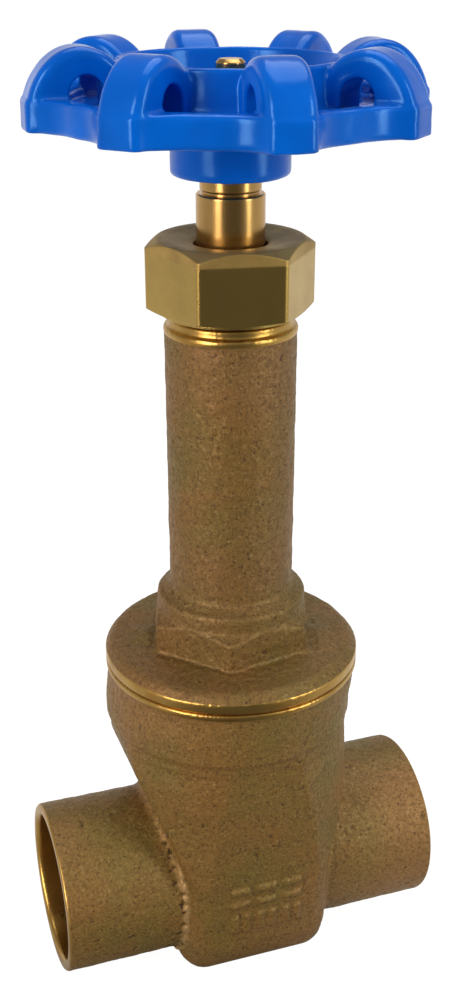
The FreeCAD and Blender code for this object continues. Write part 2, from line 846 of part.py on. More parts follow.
def wheel_centre():
    """Hub, floor, web and the upstanding cup round the wheel nut."""
    return turned(
        (0, hub_bottom_z),
        (hub_radius - 0.8, hub_bottom_z),
        ((hub_radius - 0.23, hub_bottom_z + 0.23), (hub_radius, hub_bottom_z + 0.8)),
        (hub_radius, web_bottom_z - 0.6),
        (hub_radius + 0.6, web_bottom_z),
        (rim_inner_radius + 1.0, web_bottom_z),
        (rim_inner_radius + 1.0, web_top_z),
        (22.0, web_top_z),
        ((20.4, web_top_z + 0.7), (19.75, web_top_z + 2.4)),
        (cup_rim_radius, cup_rim_z - 0.7),
        ((cup_rim_radius - 0.6, cup_rim_z), (cup_rim_radius - 1.2, cup_rim_z - 0.3)),
        (cup_inner_radius, web_top_z + 1.5),
        ((cup_inner_radius - 0.5, web_top_z + 0.4), (cup_inner_radius - 1.6, web_top_z)),
        (0, web_top_z),
    )


def handwheel():
    """The wheel casting: hub, cup, web, rim and eight vented lobes."""
    shape = fused([wheel_centre(), wheel_rim()] + around(lobe(), lobe_count, lobe_turn))
    for vent in around(lobe_vent(), lobe_count, lobe_turn):
        shape = shape.cut(vent)
    shape = shape.cut(rod(wheel_seat_radius + 0.06, hub_bottom_z - 1, square_bottom_z))
    hole = prism(4, square_side + 0.12, square_bottom_z - 1, web_top_z + 1, 45)
    return shape.cut(hole)


# ---- Wheel fastening ------------------------------------------------------


def wheel_plate():
    """Blank identification plate that serves as the washer under the wheel nut."""
    plate = rod(plate_radius, web_top_z, web_top_z + plate_thickness)
    return plate.cut(rod(stem_end_radius + 0.15, web_top_z - 1, web_top_z + plate_thickness + 1))


def wheel_nut():
    """Hex nut on the stem's end thread."""
    bottom = web_top_z + plate_thickness
    top = bottom + wheel_nut_height
    corner_radius = wheel_nut_across_flats / math.sqrt(3)
    shape = prism(6, wheel_nut_across_flats, bottom, top, 0)
    envelope = turned(
        (0, bottom),
        (wheel_nut_across_flats / 2, bottom),
        (corner_radius + 0.1, bottom + 0.6),
        (corner_radius + 0.1, top - 0.6),
        (wheel_nut_across_flats / 2, top),
        (0, top),
    )
    shape = shape.common(envelope)
    core_radius = stem_end_radius - stem_end_depth
    shape = shape.cut(rod(core_radius + thread_gap, bottom - 1, top + 1))
    groove = vee_thread(
        core_radius,
        stem_end_radius,
        stem_end_pitch,
        stem_end_bottom_z + 0.9 - stem_end_pitch,
        stem_end_bottom_z + 0.9 + 5 * stem_end_pitch,
        thread_gap,
    )
    return shape.cut(groove)


def build_parts():
    """Every piece by node name."""
    parts = {
        "body": body(),
        "gate_wedge": gate_wedge(),
        "stem": stem(),
        "bonnet": bonnet(),
        "packing_gland": packing_gland(),
        "packing_nut": packing_nut(),
        "handwheel": handwheel(),
        "wheel_plate": wheel_plate(),
        "wheel_nut": wheel_nut(),
    }
    for index in range(packing_count):
        parts["packing_ring_%d" % (index + 1)] = packing_ring(index)
    return parts


os.makedirs(PARTS_FOLDER, exist_ok=True)
for name, shape in build_parts().items():
    solids = shape.Solids
    print(name, "solids", len(solids), "valid", shape.isValid(), "volume", round(shape.Volume, 1))
    piece = solids[0] if len(solids) == 1 else Part.makeCompound(solids)
    piece.translate(move(dz=pipe_axis_height))
    piece.exportStep(os.path.join(PARTS_FOLDER, name + ".step"))
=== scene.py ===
import json
import math

import bpy
import numpy as np
from mathutils import Matrix, Vector, noise


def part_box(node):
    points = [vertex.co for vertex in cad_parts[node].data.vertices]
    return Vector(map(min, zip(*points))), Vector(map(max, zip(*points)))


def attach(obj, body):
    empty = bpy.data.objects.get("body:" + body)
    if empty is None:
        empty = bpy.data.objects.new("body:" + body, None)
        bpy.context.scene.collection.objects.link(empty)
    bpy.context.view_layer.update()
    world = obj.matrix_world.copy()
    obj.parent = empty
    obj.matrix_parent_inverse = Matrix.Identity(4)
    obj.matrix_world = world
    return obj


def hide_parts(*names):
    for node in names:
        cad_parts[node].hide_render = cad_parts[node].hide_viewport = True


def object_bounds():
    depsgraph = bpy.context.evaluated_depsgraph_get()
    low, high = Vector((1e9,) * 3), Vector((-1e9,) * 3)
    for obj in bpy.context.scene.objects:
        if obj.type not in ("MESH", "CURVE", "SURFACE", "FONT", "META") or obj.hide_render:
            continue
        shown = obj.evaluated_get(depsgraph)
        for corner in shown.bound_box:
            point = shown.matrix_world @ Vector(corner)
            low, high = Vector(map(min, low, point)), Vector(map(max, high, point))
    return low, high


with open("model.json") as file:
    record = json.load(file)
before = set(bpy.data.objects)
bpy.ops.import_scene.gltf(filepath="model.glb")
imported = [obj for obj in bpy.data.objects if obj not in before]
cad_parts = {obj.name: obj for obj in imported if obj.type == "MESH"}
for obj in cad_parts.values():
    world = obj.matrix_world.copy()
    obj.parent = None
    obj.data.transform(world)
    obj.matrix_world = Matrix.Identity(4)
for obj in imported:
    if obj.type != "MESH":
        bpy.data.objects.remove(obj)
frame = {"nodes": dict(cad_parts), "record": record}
cad_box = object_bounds()

# Metres, in the frame's own axes: +X along the pipe, +Z up the stem.
MM = 0.001
NODES = frame["nodes"]
SOCKET = {m["name"]: m for m in frame["record"]["mounts"]}
AXIS_Z = SOCKET["inlet_socket"]["pos_m"][2]
BORE_R = SOCKET["inlet_socket"]["dims"]["r_mm"] * MM
BODY_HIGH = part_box("body")[1]
NUT_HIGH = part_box("packing_nut")[1]
HALF_LENGTH = BODY_HIGH.x
JOINT_Z = BODY_HIGH.z

# Heights from the pipe's axis and radii of the features that the looks follow
CUP_STOP = 15.25 * MM
CUP_R = 16.6 * MM
SIDE_X = 14.65 * MM
LIP_R = 24.35 * MM
LIP_INSIDE_R = 23.0 * MM
LIP_HEIGHT = 1.3 * MM
CREASE_Z = 33.8 * MM
NECK_R = 21.0 * MM
POCKET_HALF_X = 12.0 * MM
POCKET_HALF_Y = 17.2 * MM
POCKET_FLOOR_Z = -17.1 * MM
SKIRT_BORE_R = 20.3 * MM
SKIRT_BOTTOM_Z = 33.5 * MM
FLANGE_R = 24.36 * MM
FLANGE_BAND_Z = 50.0 * MM
FLANGE_TOP_Z = 51.6 * MM
HEX_FOOT_R = 16.0 * MM
TUBE_BOTTOM_Z = 58.0 * MM
TUBE_BORE_R = 9.5 * MM
TUBE_INSIDE_R = 9.8 * MM
BONNET_INSIDE_R = 13.5 * MM
TURNED_NECK_Z = 112.4 * MM
NUT_CHAMFER = 2.3 * MM

# Mesh spacing and rounds of smoothing of the remade pieces
CASTING_VOXEL = 0.33 * MM
CASTING_ROUNDS = 1
WHEEL_VOXEL = 0.3 * MM
WHEEL_ROUNDS = 4

# Heights and wavelengths of the casting skin
WAVE_HEIGHT = 0.09 * MM
WAVE_LENGTH = 3.6 * MM
GRAIN_HEIGHT = 0.05 * MM
GRAIN_LENGTH = 0.9 * MM
PIT_DEPTH = 0.16 * MM
PIT_LENGTH = 1.3 * MM

# Ridge at the left cup, ledge and lean of the neck, lumps at the foot of the hex.
# Heights without MM are in millimetres; each lump has its bearing in degrees and its height.
RIDGE_WIDTH = 0.75 * MM
RIDGE_HEIGHT = 0.42
RIDGE_WOBBLE = 0.35
RIDGE_HOLE_DEPTH = 0.5
LEDGE_HEIGHT = 0.14 * MM
LEAN = 0.8 * MM
LEAN_FADE_LOW = (18 * MM, 30 * MM)
LEAN_FADE_HIGH = (39 * MM, 46 * MM)
LUMP_SPREAD = math.radians(9)
LUMPS = ((165, 0.7), (-20, 0.6), (-120, 0.25), (60, 0.3))
CRUMB_HEIGHT = 0.28
PAINT_WAVE_HEIGHT = 0.06 * MM
PAINT_WAVE_LENGTH = 5.0 * MM

# Waves per metre of the noise in the materials
CAST_PATCHES = 70
CAST_CLOUDS = 26
CAST_GRAIN = 1100
CAST_SPECKS = 2300
TURNED_STAINS = 150
BRASS_STAINS = 120
BRASS_WEAR = 500
LATHE_RINGS = 2600
PAINT_SWELLS = 90
PLATE_GRAIN = 900
BRAIDS_ROUND = 60
BRAIDS_PER_METRE = 9000

# Screen colours
CAST_BROWN = (132, 97, 46)
CAST_OLIVE = (118, 98, 44)
CAST_ROSE = (138, 100, 58)
CAST_DARK = (96, 68, 32)
# The pit colour also paints shade into the skin's pits, and the light cast colour paints highlights on its
# raised spots; both also tint random specks.
CAST_SPECK_AND_PIT_SHADE = (58, 38, 20)
CAST_FLECK_AND_BUMP_HIGHLIGHT = (186, 152, 106)
TURNED_BRIGHT = (198, 160, 88)
TURNED_DULL = (176, 132, 64)
NUT_TOP_BROWN = (142, 112, 66)
BLUE_DEEP = (0, 82, 184)
BLUE_FULL = (0, 97, 208)
BLUE_GLINT = (140, 205, 255)
BRASS = (196, 164, 92)
STEM_BRONZE = (206, 164, 100)
GRAPHITE_DARK = (34, 34, 36)
GRAPHITE_LIGHT = (74, 74, 78)
PLATE_DARK = (170, 172, 174)
PLATE_LIGHT = (196, 198, 200)

# Surface finish, and painted light: the body gain draws the body's bronze lighter, standing in for light
# from below and in front
BODY_PAINTED_LIGHT_GAIN = 1.13
CAST_METAL = 0.4
CAST_BUMP = 0.6
TURNED_BUMP = 0.03
BRASS_ROUGHNESS = 0.22
STEM_ROUGHNESS = 0.16
TOP_ROUGHNESS = 0.24
TOP_METAL = 0.75
EDGE_RADIUS = 0.35 * MM

WARM_LIGHT = (1.0, 0.9, 0.8)
COOL_LIGHT = (0.97, 1.0, 0.92)

# Brightness of the room, to the camera and in reflections
ROOM_WHITE = 1.0
FLOOR_WHITE = 0.97
FLOOR_SEEN = (0.12, 0.12, 0.12, 1)
ROOM_BEHIND = 1.0
ROOM_IN_FRONT = 0.12
ROOM_OVERHEAD = 0.28
FLOOR_SHARE = 0.6


# ---- Node helpers ---------------------------------------------------------


class Nodes:
    """A short way to write a material's node tree."""

    def __init__(self, tree):
        self.tree = tree

    def add(self, kind, **values):
        node = self.tree.nodes.new(kind)
        for key, value in values.items():
            if hasattr(node, key):
                setattr(node, key, value)
        return node

    def link(self, source, target):
        self.tree.links.new(source, target)

    def put(self, socket, value):
        """Sets a socket from a number, a colour or another socket."""
        if isinstance(value, bpy.types.NodeSocket):
            self.link(value, socket)
        else:
            socket.default_value = value

    def maths(self, operation, a, b=0.0, clamp=False):
        node = self.add("ShaderNodeMath", operation=operation, use_clamp=clamp)
        self.put(node.inputs[0], a)
        self.put(node.inputs[1], b)
        return node.outputs[0]

    def blend(self, factor, a, b):
        node = self.add("ShaderNodeMix", data_type="RGBA")
        self.put(node.inputs[0], factor)
        self.put(node.inputs[6], a)
        self.put(node.inputs[7], b)
        return node.outputs[2]

    def scaled(self, colour, gain):
        node = self.add("ShaderNodeVectorMath", operation="SCALE")
        self.put(node.inputs[0], colour)
        node.inputs["Scale"].default_value = gain
        return node.outputs[0]

    def ramp(self, value, low, high, out_low=0.0, out_high=1.0):
        node = self.add("ShaderNodeMapRange", clamp=True)
        self.put(node.inputs[0], value)
        self.put(node.inputs[1], low)
        self.put(node.inputs[2], high)
        self.put(node.inputs[3], out_low)
        self.put(node.inputs[4], out_high)
        return node.outputs[0]

    def noise(self, where, scale, detail=2.0, roughness=0.5):
        node = self.add("ShaderNodeTexNoise")
        self.put(node.inputs["Vector"], where)
        node.inputs["Scale"].default_value = scale
        node.inputs["Detail"].default_value = detail
        node.inputs["Roughness"].default_value = roughness
        return node.outputs["Fac"]

    def bump(self, height, strength, distance, normal=None):
        node = self.add("ShaderNodeBump")
        self.put(node.inputs["Height"], height)
        node.inputs["Strength"].default_value = strength
        node.inputs["Distance"].default_value = distance
        if normal is not None:
            self.put(node.inputs["Normal"], normal)
        return node.outputs["Normal"]

    def place(self):
        """The point in the object's own axes, in metres."""
        return self.add("ShaderNodeTexCoord").outputs["Object"]

    def split(self, vector):
        node = self.add("ShaderNodeSeparateXYZ")
        self.put(node.inputs[0], vector)
        return node.outputs


def new_material(name):
    """A material with an empty Principled surface; returns it, its helper and the surface node."""
    material = bpy.data.materials.new(name)
    material.use_nodes = True
    material.node_tree.nodes.clear()
    n = Nodes(material.node_tree)
    surface = n.add("ShaderNodeBsdfPrincipled")
    out = n.add("ShaderNodeOutputMaterial")
    n.link(surface.outputs[0], out.inputs["Surface"])
    return material, n, surface


def srgb(red, green, blue):
    """Linear colour from 0-255 screen values."""
    linear = [((v / 255 + 0.055) / 1.055) ** 2.4 if v > 10 else v / 255 / 12.92 for v in (red, green, blue)]
    return tuple(linear + [1.0])


# ---- Materials ------------------------------------------------------------


def above(n, value, level, soft=0.05 * MM):
    """One where the value is over the level, zero where it is under."""
    return n.ramp(value, level - soft, level + soft)


def below(n, value, level, soft=0.05 * MM):
    return n.ramp(value, level - soft, level + soft, 1.0, 0.0)


def length_of(n, a, b):
    squares = n.maths("ADD", n.maths("MULTIPLY", a, a), n.maths("MULTIPLY", b, b))
    return n.maths("SQRT", squares)


def both(n, a, b):
    return n.maths("MULTIPLY", a, b)


def either(n, a, b):
    return n.maths("MAXIMUM", a, b)


def turned_on_body(n, where):
    """Machined parts of the body: the lip, the cup bores and ends, and the thread."""
    x, y, z = n.split(where)
    height = n.maths("SUBTRACT", z, AXIS_Z)
    along = n.maths("ABSOLUTE", x)
    lip = above(n, z, JOINT_Z - LIP_HEIGHT)
    bore = both(n, above(n, along, CUP_STOP - 1 * MM), below(n, length_of(n, y, height), BORE_R + 1.0 * MM))
    end = above(n, along, HALF_LENGTH - 0.3 * MM)
    thread = both(n, above(n, height, SKIRT_BOTTOM_Z), below(n, length_of(n, x, y), SKIRT_BORE_R))
    return either(n, either(n, lip, bore), either(n, end, thread))


def turned_on_bonnet(n, where):
    """Machined parts of the bonnet: the flange's lower band, the neck under the nut, the inside."""
    x, y, z = n.split(where)
    height = n.maths("SUBTRACT", z, AXIS_Z)
    inside = below(n, length_of(n, x, y), TUBE_BORE_R)
    outside = either(n, below(n, height, FLANGE_BAND_Z), above(n, height, TURNED_NECK_Z))
    return either(n, outside, inside)


def bronze_casting(name, turned_where, gain=1.0):
    """Sand-cast bronze with brown and olive patches and random specks, painted highlights on raised skin
    and painted shade in pits, bright where it is machined.
    """
    material, n, surface = new_material(name)
    where = n.place()
    turned = turned_where(n, where)
    patches = n.noise(where, CAST_PATCHES, 3, 0.6)
    clouds = n.noise(where, CAST_CLOUDS, 2, 0.5)
    grain = n.noise(where, CAST_GRAIN, 3, 0.7)
    specks = n.noise(where, CAST_SPECKS, 2, 0.6)
    height = n.add("ShaderNodeAttribute", attribute_name="relief").outputs["Fac"]
    tone = n.blend(n.ramp(patches, 0.36, 0.64), srgb(*CAST_BROWN), srgb(*CAST_OLIVE))
    tone = n.blend(n.ramp(clouds, 0.48, 0.7), tone, srgb(*CAST_ROSE))
    tone = n.blend(n.ramp(grain, 0.45, 0.68, 0.0, 0.55), tone, srgb(*CAST_DARK))
    tone = n.blend(n.ramp(specks, 0.57, 0.7, 0.0, 0.85), tone, srgb(*CAST_SPECK_AND_PIT_SHADE))
    tone = n.blend(n.ramp(specks, 0.3, 0.42, 0.35, 0.0), tone, srgb(*CAST_FLECK_AND_BUMP_HIGHLIGHT))
    # Painted highlight: the cast colour goes lighter where the stored skin height stands proud.
    tone = n.blend(n.ramp(height, 0.8, 2.5, 0.0, 0.45), tone, srgb(*CAST_FLECK_AND_BUMP_HIGHLIGHT))
    # Painted shade: the cast colour goes darker where the stored skin height sinks into pits.
    tone = n.blend(n.ramp(height, -2.2, -0.9, 0.8, 0.0), tone, srgb(*CAST_SPECK_AND_PIT_SHADE))
    # Painted light: a gain above one draws a lighter copy of the bronze, used on the body.
    tone = n.scaled(tone, gain)
    stain = n.noise(where, TURNED_STAINS, 3, 0.6)
    bright = n.blend(n.ramp(stain, 0.4, 0.7), srgb(*TURNED_BRIGHT), srgb(*TURNED_DULL))
    n.put(surface.inputs["Base Color"], n.blend(turned, tone, bright))
    n.put(surface.inputs["Metallic"], n.ramp(turned, 0, 1, CAST_METAL, 1.0))
    cast_roughness = n.ramp(grain, 0.3, 0.7, 0.44, 0.66)
    turned_part = both(n, turned, n.ramp(stain, 0.3, 0.8, 0.26, 0.38))
    cast_part = both(n, n.maths("SUBTRACT", 1.0, turned), cast_roughness)
    n.put(surface.inputs["Roughness"], n.maths("ADD", turned_part, cast_part))
    relief = n.maths("ADD", n.maths("MULTIPLY", grain, 0.6), n.maths("MULTIPLY", specks, 0.4))
    normal = n.bump(relief, CAST_BUMP, 0.25 * MM)
    n.put(normal.node.inputs["Strength"], n.ramp(turned, 0, 1, CAST_BUMP, TURNED_BUMP))
    n.put(surface.inputs["Normal"], normal)
    return material


def turned_nowhere(n, where):
    """Zero everywhere: the part has no machined places."""
    return n.maths("ADD", 0.0, 0.0)


def plain_bronze():
    """The same casting without machined parts, for the wedge."""
    return bronze_casting("cast_bronze", turned_nowhere)


def machined_brass(name, colour, roughness, dull_above=1.0):
    """Turned metal: fine lathe rings, faint stains, softened edges; dull over a given height."""
    material, n, surface = new_material(name)
    where = n.place()
    stain = n.noise(where, BRASS_STAINS, 3, 0.6)
    height = n.split(where)[2]
    top_zone = above(n, height, dull_above, 0.2 * MM)
    dull = tuple(c * 0.7 for c in colour[:3]) + (1.0,)
    tone = n.blend(n.ramp(stain, 0.4, 0.75, 0.0, 0.6), colour, dull)
    # Over the given height the colour goes towards a darker brown in irregular patches, and the metal turns
    # rougher and less metallic.
    tone = n.blend(both(n, top_zone, n.ramp(stain, 0.35, 0.65, 0.15, 0.6)), tone, srgb(*NUT_TOP_BROWN))
    n.put(surface.inputs["Base Color"], tone)
    n.put(surface.inputs["Metallic"], n.ramp(top_zone, 0, 1, 1.0, TOP_METAL))
    clean = n.ramp(stain, 0.3, 0.8, roughness, roughness + 0.12)
    n.put(surface.inputs["Roughness"], n.maths("ADD", clean, n.maths("MULTIPLY", top_zone, TOP_ROUGHNESS)))
    rings = n.noise(n.maths("MULTIPLY", height, LATHE_RINGS), 1.0, 2, 0.6)
    wear = n.noise(where, BRASS_WEAR, 2, 0.5)
    relief = n.maths("ADD", n.maths("MULTIPLY", rings, 0.5), n.maths("MULTIPLY", wear, 0.5))
    eased = n.add("ShaderNodeBevel", samples=6)
    eased.inputs["Radius"].default_value = EDGE_RADIUS
    n.put(surface.inputs["Normal"], n.bump(relief, 0.12, 0.05 * MM, eased.outputs[0]))
    return material


def blue_enamel():
    """Thick glossy enamel on a rough casting."""
    material, n, surface = new_material("blue_enamel")
    where = n.place()
    soft = n.noise(where, PAINT_SWELLS, 2, 0.5)
    n.put(surface.inputs["Base Color"], n.blend(n.ramp(soft, 0.3, 0.7), srgb(*BLUE_DEEP), srgb(*BLUE_FULL)))
    surface.inputs["Roughness"].default_value = 0.2
    surface.inputs["Specular Tint"].default_value = srgb(*BLUE_GLINT)
    surface.inputs["Specular IOR Level"].default_value = 0.5
    n.put(surface.inputs["Normal"], n.bump(soft, 0.25, 0.5 * MM))
    return material


def graphite_packing():
    """Braided packing: a slanted weave over graphite grey."""
    material, n, surface = new_material("graphite_packing")
    where = n.place()
    x, y, z = n.split(where)
    turn = n.maths("ARCTAN2", y, x)
    round_ring = n.maths("MULTIPLY", turn, BRAIDS_ROUND)
    up_ring = n.maths("MULTIPLY", z, BRAIDS_PER_METRE)
    weave = n.maths("SINE", n.maths("ADD", round_ring, up_ring))
    greys = n.blend(n.ramp(weave, -1, 1), srgb(*GRAPHITE_DARK), srgb(*GRAPHITE_LIGHT))
    n.put(surface.inputs["Base Color"], greys)
    surface.inputs["Roughness"].default_value = 0.6
    n.put(surface.inputs["Normal"], n.bump(weave, 0.6, 0.2 * MM))
    return material


def plain_plate():
    """Blank stamped aluminium plate."""
    material, n, surface = new_material("plain_plate")
    where = n.place()
    grain = n.noise(where, PLATE_GRAIN, 2, 0.6)
    n.put(surface.inputs["Base Color"], n.blend(grain, srgb(*PLATE_DARK), srgb(*PLATE_LIGHT)))
    surface.inputs["Metallic"].default_value = 1.0
    n.put(surface.inputs["Roughness"], n.ramp(grain, 0.3, 0.7, 0.3, 0.42))
    n.put(surface.inputs["Normal"], n.bump(grain, 0.2, 0.05 * MM))
    return material


# ---- Mesh work ------------------------------------------------------------


def as_remeshed(node, name, voxel, rounds):
    """A new evenly meshed piece in the shape of a CAD node, with its edges eased."""
    source = NODES[node]
    piece = bpy.data.objects.new(name, source.data.copy())
    bpy.context.scene.collection.objects.link(piece)
    remesh = piece.modifiers.new("even", "REMESH")
    remesh.mode = "VOXEL"
    remesh.voxel_size = voxel
    ease = piece.modifiers.new("ease", "SMOOTH")
    ease.factor = 0.5
    ease.iterations = rounds
    graph = bpy.context.evaluated_depsgraph_get()
    mesh = bpy.data.meshes.new_from_object(piece.evaluated_get(graph))
    piece.modifiers.clear()
    piece.data = mesh
    mesh.name = name
    mesh.materials.clear()
    for polygon in mesh.polygons:
        polygon.use_smooth = True
    return piece


def points_of(mesh):
    """Vertex positions and normals as arrays."""
    count = len(mesh.vertices)
    points = np.zeros(count * 3, np.float32)
    normals = np.zeros(count * 3, np.float32)
    mesh.vertices.foreach_get("co", points)
    mesh.vertices.foreach_get("normal", normals)
    return points.reshape(-1, 3).astype(float), normals.reshape(-1, 3).astype(float)


def keep_relief(mesh, relief):
    """Stores the height of the casting skin, in tenths of a millimetre, for the material's painted
    highlights and painted shade.
    """
    layer = mesh.attributes.new("relief", "FLOAT", "POINT")
    layer.data.foreach_set("value", (relief / (0.1 * MM)).astype(np.float32))


def set_points(mesh, points):
    mesh.vertices.foreach_set("co", points.astype(np.float32).ravel())
    mesh.update()


def rough(points, wavelength, octaves=3, seed=0.0):
    """Fractal noise from about -1 to 1 at each point."""
    shift = Vector((seed, seed * 1.7, -seed))
    scale = 1.0 / wavelength
    return np.array([noise.fractal(Vector(p) * scale + shift, 0.8, 2.1, octaves) for p in points])


def smooth_step(value, low, high):
    t = np.clip((value - low) / (high - low), 0, 1)
    return t * t * (3 - 2 * t)


def to_radius(points, axes, centre, radius):
    """Moves points straight out from an axis until they lie on its cylinder."""
    moved = points.copy()
    flat = points[:, axes] - np.array(centre)
    moved[:, axes] = flat * (radius / np.linalg.norm(flat, axis=1))[:, None] + np.array(centre)
    return moved


# ---- Pieces ---------------------------------------------------------------


def sand_grain(points, seed):
    """Height of a sand-cast skin in metres: slow waves, fine grain and scattered pits."""
    waves = WAVE_HEIGHT * rough(points, WAVE_LENGTH, 3, seed)
    grain = GRAIN_HEIGHT * rough(points, GRAIN_LENGTH, 2, seed + 4.0)
    pits = -PIT_DEPTH * smooth_step(rough(points, PIT_LENGTH, 2, seed + 9.0), 0.45, 0.8)
    return waves + grain + pits


def body_zones(local):
    """Which points lie on the body's cast skin, in a cup bore and on the turned lip."""
    along = np.abs(local[:, 0])
    radius_x = np.hypot(local[:, 1], local[:, 2])
    radius_z = np.hypot(local[:, 0], local[:, 1])
    bore = (along > CUP_STOP - 1 * MM) & (radius_x < BORE_R + 0.9 * MM)
    lip = local[:, 2] > JOINT_Z - AXIS_Z - LIP_HEIGHT - 0.2 * MM
    neck = (radius_z < NECK_R) & (local[:, 2] > SKIRT_BOTTOM_Z - 1 * MM)
    pocket = (along < POCKET_HALF_X) & (np.abs(local[:, 1]) < POCKET_HALF_Y)
    pocket &= local[:, 2] > POCKET_FLOOR_Z
    end = along > HALF_LENGTH - 0.4 * MM
    return ~(bore | lip | neck | pocket | end), bore, lip & (radius_z > LIP_INSIDE_R)


def junction_flash(local, seed):
    """Rough ridge and pits where the left cup meets the body."""
    along = -local[:, 0]
    radius_x = np.hypot(local[:, 1], local[:, 2])
    off_fillet = np.hypot(along - SIDE_X - 0.5 * MM, radius_x - CUP_R - 0.5 * MM)
    front = smooth_step(-local[:, 1], -2 * MM, 5 * MM)
    wobble = rough(local, 1.6 * MM, 2, seed)
    ridge = np.exp(-((off_fillet / RIDGE_WIDTH) ** 2)) * (RIDGE_HEIGHT + RIDGE_WOBBLE * wobble)
    beside = smooth_step(along, SIDE_X - 1 * MM, SIDE_X)
    beside = beside * smooth_step(-along, -SIDE_X - 4 * MM, -SIDE_X - 2 * MM)
    beside = beside * smooth_step(-radius_x, -CUP_R - 2.4 * MM, -CUP_R - 0.8 * MM)
    holes = -RIDGE_HOLE_DEPTH * beside * smooth_step(rough(local, 1.5 * MM, 2, seed + 3.0), 0.15, 0.6)
    return (ridge + holes * (radius_x > CUP_R - 1 * MM)) * front * MM


def crease_step(local):
    """Faint ledge where the round neck starts."""
    height = local[:, 2] - CREASE_Z
    below_edge = smooth_step(-height, -0.3 * MM, 0.5 * MM)
    near_edge = smooth_step(height, -5 * MM, -0.6 * MM)
    return -LEDGE_HEIGHT * below_edge * near_edge


def neck_lean(local):
    """Shift of the outer skin below the lip, where the casting's neck sits off the stem's axis."""
    height = local[:, 2]
    rise = smooth_step(height, LEAN_FADE_LOW[0], LEAN_FADE_LOW[1])
    fall = smooth_step(-height, -LEAN_FADE_HIGH[1], -LEAN_FADE_HIGH[0])
    amount = rise * fall
    return -LEAN * amount[:, None] * np.array([1.0, 0.0, 0.0])


def make_body(material):
    """Body casting with its sand grain, flash and turned bores."""
    piece = as_remeshed("body", "body_casting", CASTING_VOXEL, CASTING_ROUNDS)
    mesh = piece.data
    points, normals = points_of(mesh)
    local = points - np.array([0, 0, AXIS_Z])
    cast, bore, lip = body_zones(local)
    relief = sand_grain(points, 1.0) + junction_flash(local, 6.0)
    points += normals * ((relief + crease_step(local)) * cast)[:, None]
    points += neck_lean(local) * cast[:, None]
    keep_relief(mesh, relief * cast)
    along = np.abs(local[:, 0])
    inner = bore & (along > CUP_STOP + 0.6 * MM) & (along < HALF_LENGTH - 0.7 * MM)
    points[inner] = to_radius(points[inner], (1, 2), (0, AXIS_Z), BORE_R)
    band = lip & (np.abs(local[:, 2] - (JOINT_Z - AXIS_Z - LIP_HEIGHT / 2)) < 0.35 * LIP_HEIGHT)
    points[band] = to_radius(points[band], (0, 1), (0, 0), LIP_R)
    set_points(mesh, points)
    mesh.materials.append(material)
    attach(piece, "valve_body")
    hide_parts("body")
    return piece


def hex_foot_lumps(points, seed):
    """Lumps and pits left round the foot of the bonnet's hex."""
    radius = np.hypot(points[:, 0], points[:, 1])
    height = points[:, 2] - AXIS_Z - FLANGE_TOP_Z
    bearing = np.arctan2(points[:, 1], points[:, 0])
    near = np.exp(-(((radius - HEX_FOOT_R - 0.6 * MM) / (1.8 * MM)) ** 2))
    near = near * smooth_step(height, -1 * MM, 0) * smooth_step(-height, -3 * MM, -0.8 * MM)
    lumps = 0.0
    for angle, size in LUMPS:
        apart = np.angle(np.exp(1j * (bearing - math.radians(angle))))
        lumps = lumps + size * np.exp(-((apart / LUMP_SPREAD) ** 2))
    crumbs = CRUMB_HEIGHT * rough(points, 1.7 * MM, 2, seed)
    return near * (lumps + crumbs) * MM


def make_bonnet(material):
    """Bonnet casting with turned bands at the flange and under the nut."""
    piece = as_remeshed("bonnet", "bonnet_casting", CASTING_VOXEL, CASTING_ROUNDS)
    mesh = piece.data
    points, normals = points_of(mesh)
    radius = np.hypot(points[:, 0], points[:, 1])
    height = points[:, 2] - AXIS_Z
    inside = radius < np.where(height > TUBE_BOTTOM_Z, TUBE_INSIDE_R, BONNET_INSIDE_R)
    cast = (height > FLANGE_BAND_Z) & (height < TURNED_NECK_Z - 0.2 * MM) & ~inside
    relief = sand_grain(points, 2.0)
    points += normals * ((relief + hex_foot_lumps(points, 8.0)) * cast)[:, None]
    keep_relief(mesh, relief * cast)
    band = (np.abs(radius - FLANGE_R) < 0.3 * MM) & (height < FLANGE_BAND_Z - 0.3 * MM)
    band &= height > JOINT_Z - AXIS_Z + 0.5 * MM
    points[band] = to_radius(points[band], (0, 1), (0, 0), FLANGE_R)
    set_points(mesh, points)
    mesh.materials.append(material)
    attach(piece, "valve_body")
    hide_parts("bonnet")
    return piece


def make_handwheel(material):
    """Enamelled wheel: the casting's edges drown in thick paint."""
    piece = as_remeshed("handwheel", "handwheel_enamelled", WHEEL_VOXEL, WHEEL_ROUNDS)
    mesh = piece.data
    points, normals = points_of(mesh)
    swells = PAINT_WAVE_HEIGHT * rough(points, PAINT_WAVE_LENGTH, 2, 3.0)
    points += normals * swells[:, None]
    set_points(mesh, points)
    mesh.materials.append(material)
    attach(piece, "stem_and_wheel")
    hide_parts("handwheel")
    return piece


def finish_node(node, material):
    """Gives a CAD node one material in place of its own."""
    mesh = NODES[node].data
    mesh.materials.clear()
    mesh.materials.append(material)


# ---- Stage ----------------------------------------------------------------


def camera_basis():
    """Where the camera stands and how it is turned, from the stem's axis and the pipe's height."""
    azimuth = math.radians(-19.14)
    pitch = math.radians(-23.59)
    yaw = math.radians(-0.1)
    distance = 228.3 * MM
    height = 179.2 * MM + AXIS_Z
    place = Vector((distance * math.sin(azimuth), -distance * math.cos(azimuth), height))
    heading = azimuth + yaw
    forward = Vector(
        (-math.sin(heading) * math.cos(pitch), math.cos(heading) * math.cos(pitch), math.sin(pitch))
    )
    return place, forward


